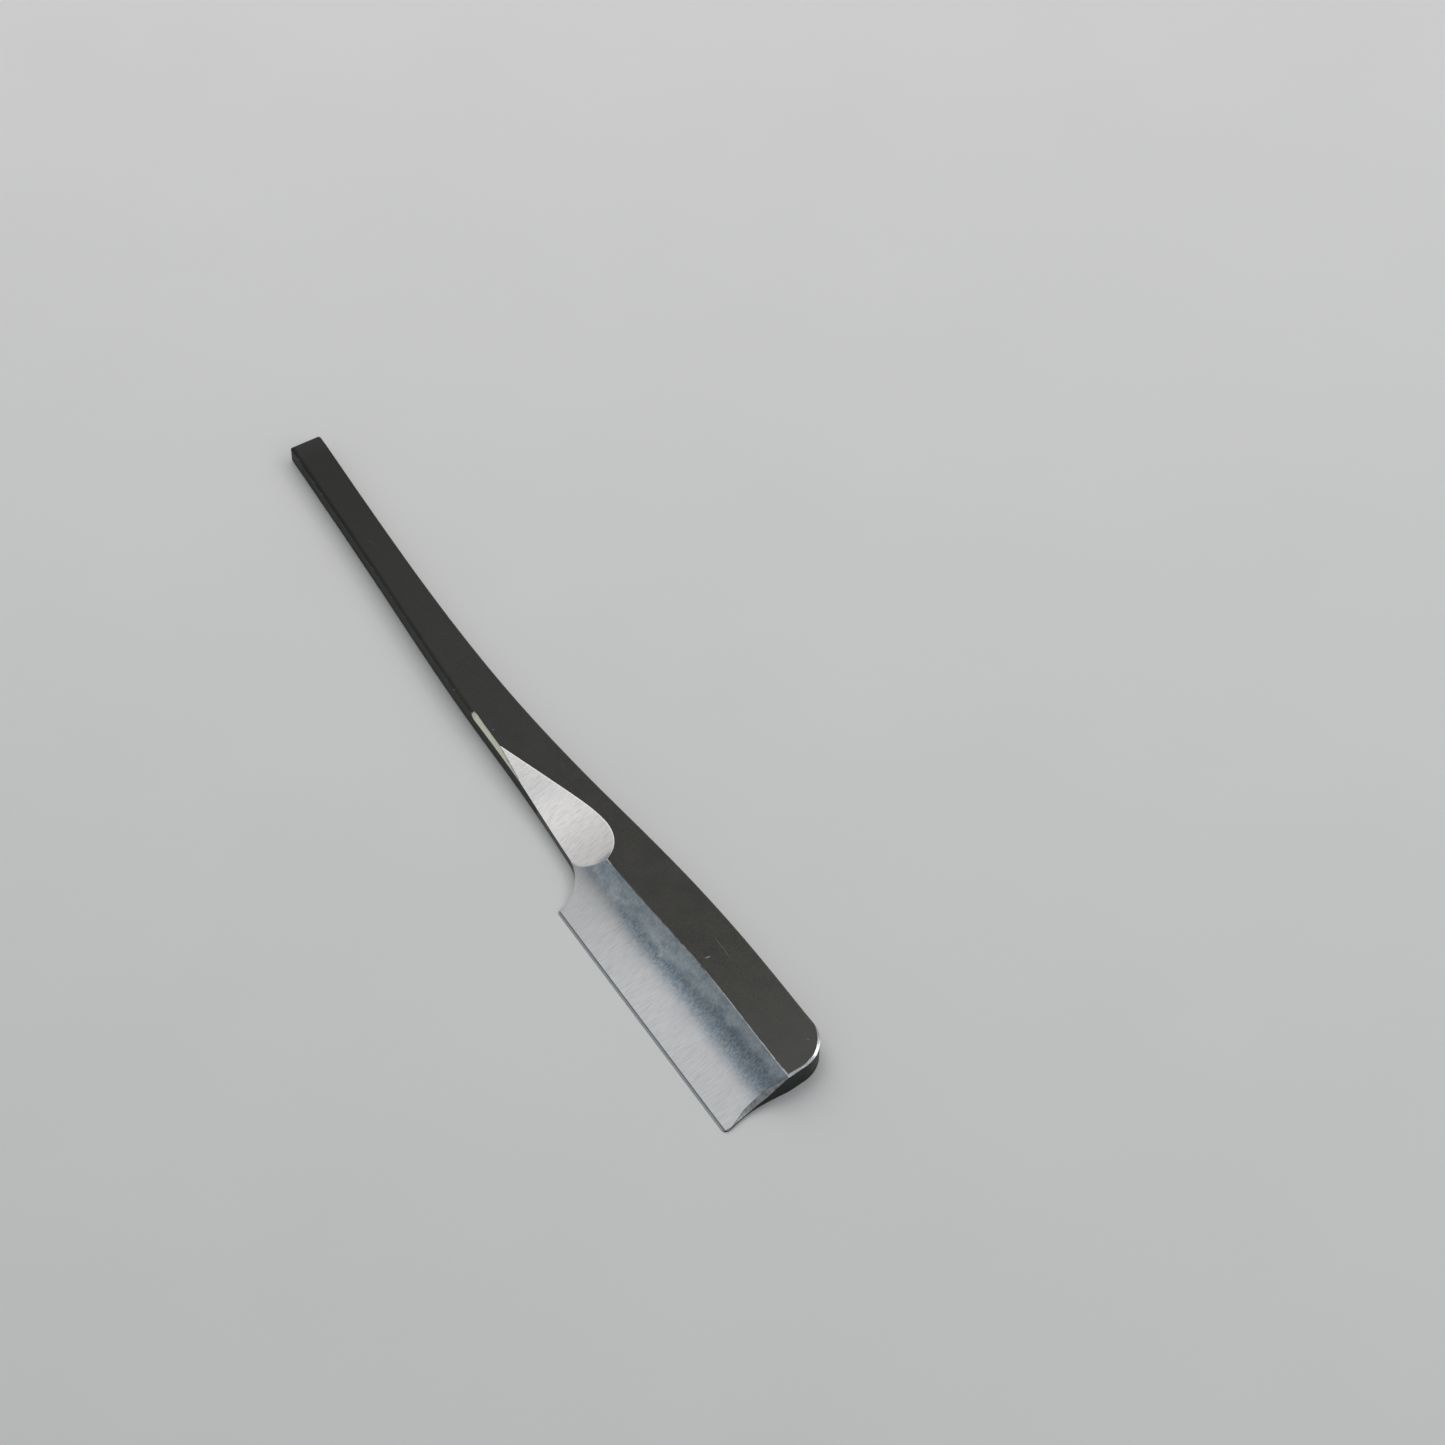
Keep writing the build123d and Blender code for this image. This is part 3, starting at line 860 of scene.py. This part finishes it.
def forge_scale():
    """Black fire scale: matte and slightly warm, grainy, rubbed to bare metal in places along its edges;
    darkened towards the tang as painted shade and lightened near the toe as painted sheen.
    """
    look = Look("forge_scale")
    cloud = look.noise(0.22, 4.0, 0.6)
    grain = look.noise(4.5, 3.0, 0.65)
    pits = look.noise(1.6, 5.0, 0.7)
    tone = look.math("ADD", look.math("MULTIPLY", cloud, 0.35), look.math("MULTIPLY", grain, 0.65))
    colour = look.blend(look.ramp(tone, 0.38, 0.62), *SCALE_TONES)
    # Painted shade: the scale darkens evenly from the toe towards the tang.
    colour = look.blend(look.ramp(look.x, 176.0, 10.0, 0.0, 0.74, smooth=False), colour, TANG_SHADE_TONE)
    # Painted sheen: the scale lightens near the toe.
    colour = look.blend(look.ramp(look.x, 146.0, 178.0, 0.0, 0.4), colour, TOE_SHEEN_TONE)
    tang_end = look.math("MULTIPLY", look.ramp(look.x, 7.0, 0.0), 0.4)
    colour = look.blend(tang_end, colour, TANG_END_TONE)
    on_edges = look.ramp(look.attribute("away"), 0.16, 0.0)
    rubbed = look.math("MULTIPLY", on_edges, look.ramp(look.noise(1.1, 4.0, 0.7), 0.60, 0.72))
    on_ridge = look.ramp(look.math("ABSOLUTE", look.attribute("ridge")), 0.14, 0.03)
    ridge_rub = look.math("MULTIPLY", on_ridge, look.ramp(look.noise(0.6, 3.0, 0.6), 0.30, 0.60))
    # Bare metal rubbed along the ridge, with more of it towards the toe as a painted glint.
    toe_glint_weight = look.ramp(look.x, 122.0, 175.0, 0.12, 1.0)
    toe_glint_weight = look.math("MULTIPLY", toe_glint_weight, look.ramp(look.x, 121.8, 122.3))
    bare = look.math("MAXIMUM", rubbed, look.math("MULTIPLY", ridge_rub, toe_glint_weight))
    for start, end, width, weight in SCALE_MARKS:
        bare = look.math("MAXIMUM", bare, look.math("MULTIPLY", look.mark(start, end, width), weight))
    colour = look.blend(bare, colour, BARE_TONE)
    uneven = look.math("ADD", look.math("MULTIPLY", grain, 0.5), look.math("MULTIPLY", cloud, 0.5))
    rough = look.ramp(uneven, 0.35, 0.65, 0.50, 0.66)
    normal = look.bump(grain, 0.016, after=look.bump(pits, 0.03, after=look.bump(cloud, 0.05)))
    metal = look.math("MULTIPLY", bare, 0.8)
    return look.finish(
        Base_Color=colour, Metallic=metal, Roughness=rough, Normal=normal, Specular_IOR_Level=0.26
    )


def shaded_toe_end():
    """The unground toe end: darkened as painted shade and tinted green as a painted reflection, with faint
    grinding lines up and down.
    """
    look = Look("toe_end")
    lines = look.noise(6.0, 4.0, 0.65, (40, 1, 12))
    cloud = look.noise(1.2, 3.0, 0.6)
    colour = look.blend(look.ramp(look.math("ADD", lines, cloud), 0.8, 1.2), *TOE_END_SHADE_TONES)
    rough = look.ramp(cloud, 0.3, 0.7, 0.38, 0.55)
    normal = look.bump(lines, 0.006)
    return look.finish(
        Base_Color=colour, Metallic=0.2, Roughness=rough, Normal=normal, Specular_IOR_Level=0.3
    )


def leaf_shade(look, colour, lines):
    """Painted shade darkens the leaf's grind towards its round end, and a painted highlight makes a brighter
    line along its border.
    """
    # Painted shade towards the round end.
    colour = look.blend(look.ramp(look.x, 104.0, 121.0, 0.0, 0.40), colour, LEAF_END_SHADE_TONE)
    # Painted highlight along the border.
    border = look.math("MULTIPLY", look.ramp(look.attribute("leaf"), 0.20, 0.05), 0.5)
    return look.blend(border, colour, LEAF_GLINT_TONE)


def toe_rim_shade(look, colour, lines):
    """The rim keeps its bright tone where it rounds the spine corner; painted shade makes it darker and
    patchy below the ridge, and fainter just above it.
    """
    patches = look.ramp(look.noise(0.9, 3.0, 0.6), 0.40, 0.60, 0.62, 0.30)
    below = look.math("MULTIPLY", look.ramp(look.y, 14.2, 13.6), patches)
    beside = look.math("MULTIPLY", look.ramp(look.y, 13.8, 14.2), look.ramp(look.y, 18.5, 15.5, 0.0, 0.3))
    return look.blend(look.math("MAXIMUM", below, beside), colour, RIM_SHADE_TONE)


def honed_line(look, colour, lines):
    """The bevel is lighter at the very edge and darker next to the hollow."""
    return look.blend(look.ramp(look.y, 0.22, 0.28), colour, BEVEL_INNER_TONE)


def ground_back(look, colour, lines):
    """The back's land wears brighter than its hollow."""
    inner = look.math("MULTIPLY", look.ramp(look.y, 1.0, 2.0), look.ramp(look.y, 16.0, 14.6))
    return look.blend(look.math("MULTIPLY", inner, 0.55), colour, BACK_HOLLOW_TONE)


SCALE = forge_scale()
GROUND = brushed(
    "hollow_grind", STEEL_TONES, 0.32, 0.0008, anisotropy=0.4, scratched=0.16, extra=iron_over_steel
)
LEAF_GRIND = brushed("leaf_grind", LEAF_TONES, 0.30, 0.0008, scratched=0.22, extra=leaf_shade)
TAIL_GRIND = brushed("tail_grind", TAIL_WARM_REFLECTION_TONES, 0.30, 0.0010, anisotropy=0.3)
HONED = brushed("honed_bevel", RIM_TONES, 0.16, 0.0006, grain=6.0, anisotropy=0.3, extra=honed_line)
RIM_GRIND = brushed("rim_grind", RIM_TONES, 0.22, 0.0008, grain=5.0, anisotropy=0.3, extra=toe_rim_shade)
# Dark tones on the ground side walls are painted shade.
WALL_GRIND = brushed("side_grind", SIDE_SHADE_TONES, 0.38, 0.0010, anisotropy=0.2)
TOE_END = shaded_toe_end()
BACK_GRIND = brushed("back_grind", STEEL_TONES, 0.24, 0.0010, extra=ground_back)
MATERIALS = [SCALE, GROUND, LEAF_GRIND, TAIL_GRIND, HONED, RIM_GRIND, WALL_GRIND, TOE_END, BACK_GRIND]
(M_SCALE, M_GROUND, M_LEAF, M_TAIL, M_HONED, M_RIM, M_WALL, M_TOE, M_BACK) = range(len(MATERIALS))
FRONT_LOOKS = np.array([M_SCALE, M_GROUND, M_LEAF, M_TAIL, M_HONED, M_RIM])


# The underside's wall is ground between these places, and the toe's wall lies beyond the others
GROUND_WALL_X = (104.0, 178.0)
TOE_WALL_X = 176.0
TOE_WALL_Y = 0.2


def front_kind(middle):
    """The finish of each front face, from the surface that it belongs to."""
    return FRONT_LOOKS[surface_at(*middle.T)]


def wall_kind(middle):
    """The finish of each wall face: black round the tang and spine, ground at the blade, dark at the toe; the
    blade and toe walls carry painted shade.
    """
    x, y = middle.T
    underside = underside_y(np.minimum(x, UNDERSIDE[-1][0]))
    spine = spine_y(np.minimum(x, SPINE[-1][0]))
    low = y < (underside + spine) / 2
    ground = low & (x > GROUND_WALL_X[0]) & (x < GROUND_WALL_X[1])
    toe = (x > TOE_WALL_X) & (y > TOE_WALL_Y)
    return np.where(toe, M_TOE, np.where(ground, M_WALL, M_SCALE))


def plain_kind(kind):
    """One finish for every face."""
    return lambda middle: np.full(len(middle), kind)


iron_low = np.maximum(np.where(PLAN_X < SCARF_BACK_X, BACK, WELD), BACK)
iron_high = np.maximum(FRONT, iron_low)
steel_top = np.minimum(np.maximum(WELD, BACK), np.maximum(FRONT, BACK))
steel_high = np.where(PLAN_X > SCARF_BACK_X, steel_top, BACK)
iron = slab("soft_iron_forging", iron_high, iron_low, MATERIALS, (front_kind, plain_kind(M_SCALE), wall_kind))
steel = slab("hard_steel_blade", steel_high, BACK, MATERIALS, (front_kind, plain_kind(M_BACK), wall_kind))
for piece, node, finish in ((iron, "soft_iron_body", "soft_iron"), (steel, "hard_steel_layer", "hard_steel")):
    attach(piece, "root")
    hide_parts(node)


# ---------------------------------------------------------------- floor, light and camera
FLOOR_LENGTHS = 16


def plain_floor():
    """A pale seamless floor, a little warm, with the faintest unevenness."""
    look = Look("pale_floor")
    colour = look.blend(look.noise(0.02, 2.0, 0.5), *FLOOR_TONES)
    rough = look.ramp(look.noise(0.05, 2.0, 0.5), 0.3, 0.7, 0.75, 0.9)
    material = look.finish(Base_Color=colour, Roughness=rough)
    reach = FLOOR_LENGTHS * LENGTH * MM
    mesh = bpy.data.meshes.new("floor")
    corners = [(-reach, -reach, 0), (reach, -reach, 0), (reach, reach, 0), (-reach, reach, 0)]
    mesh.from_pydata(corners, [], [(0, 1, 2, 3)])
    mesh.materials.append(material)
    floor = bpy.data.objects.new("floor", mesh)
    floor.location.z = CAD_BOX[0][2]
    bpy.context.scene.collection.objects.link(floor)


def panel(name, towards, distance, size, radiance, colour, spin=0.0, level=False):
    """A soft rectangular light in a direction from the knife, given by what it looks like, not its power."""
    light = bpy.data.lights.new(name, "AREA")
    light.shape = "RECTANGLE"
    light.size, light.size_y = size
    light.energy = radiance * math.pi * size[0] * size[1]
    light.color = colour
    holder = bpy.data.objects.new(name, light)
    towards = Vector(towards).normalized() * distance
    holder.location = towards
    if level:
        holder.rotation_euler = (0, 0, spin)
    else:
        holder.rotation_euler = towards.to_track_quat("Z", "Y").to_euler()
    bpy.context.scene.collection.objects.link(holder)


# The softbox hangs this high. On its plane, in multiples of the height: a point on its near edge, how far
# the edge runs each way from there, and how deep the softbox is
SOFTBOX_HEIGHT = 0.75
SOFTBOX_SPIN = math.radians(8)
EDGE_POINT = Vector((-0.51, -0.385))
EDGE_RUN = (-2.6, 0.48)
SOFTBOX_DEPTH = 1.6
SOFTBOX_COLOUR = (1.0, 0.99, 0.975)
CARD_COLOUR = (1, 1, 1)
WORLD_COLOUR = (0.26, 0.28, 0.30, 1)


def overhead_softbox(radiance):
    """The main softbox, level above the knife; one long edge is placed so that the hollow mirrors it."""
    along_edge = Vector((math.cos(SOFTBOX_SPIN), math.sin(SOFTBOX_SPIN)))
    inwards = Vector((-along_edge.y, along_edge.x))
    middle = EDGE_POINT + along_edge * sum(EDGE_RUN) / 2 + inwards * SOFTBOX_DEPTH / 2
    size = ((EDGE_RUN[1] - EDGE_RUN[0]) * SOFTBOX_HEIGHT, SOFTBOX_DEPTH * SOFTBOX_HEIGHT)
    way = Vector((middle.x, middle.y, 1)) * SOFTBOX_HEIGHT
    panel("softbox", way, way.length, size, radiance, SOFTBOX_COLOUR, SOFTBOX_SPIN, level=True)


plain_floor()
overhead_softbox(1.0)
panel("toe_card", (0.76, 0.35, 0.54), 0.8, (0.35, 0.35), 1.3, CARD_COLOUR)
panel("spine_card", (0.17, 0.75, 0.64), 0.8, (0.30, 0.30), 1.7, CARD_COLOUR)

world = bpy.data.worlds.new("studio")
world.use_nodes = True
world.node_tree.nodes["Background"].inputs["Color"].default_value = WORLD_COLOUR
bpy.context.scene.world = world
bpy.context.scene.view_settings.view_transform = "Standard"

CAMERA_AIM = Vector((0.01295, 0.0370, 0.0))
CAMERA_DISTANCE = 0.64438
CAMERA_ELEVATION = math.radians(49.93)
CAMERA_AZIMUTH = math.radians(56.37)
CAMERA_ROLL = math.radians(1.4)
CAMERA_LENS = 85.97


def aim_camera():
    """Camera on a sphere round its aim point, rolled slightly about its line of sight."""
    flat = Vector((math.sin(CAMERA_AZIMUTH), -math.cos(CAMERA_AZIMUTH), 0))
    back = flat * math.cos(CAMERA_ELEVATION) + Vector((0, 0, math.sin(CAMERA_ELEVATION)))
    level = Vector((-flat.y, flat.x, 0))
    upright = back.cross(level)
    right = level * math.cos(CAMERA_ROLL) + upright * math.sin(CAMERA_ROLL)
    up = back.cross(right)
    data = bpy.data.cameras.new("camera")
    data.lens = CAMERA_LENS
    camera = bpy.data.objects.new("camera", data)
    turn = Matrix((right, up, back)).transposed()
    camera.matrix_world = Matrix.Translation(CAMERA_AIM + back * CAMERA_DISTANCE) @ turn.to_4x4()
    bpy.context.scene.collection.objects.link(camera)
    bpy.context.scene.camera = camera


aim_camera()
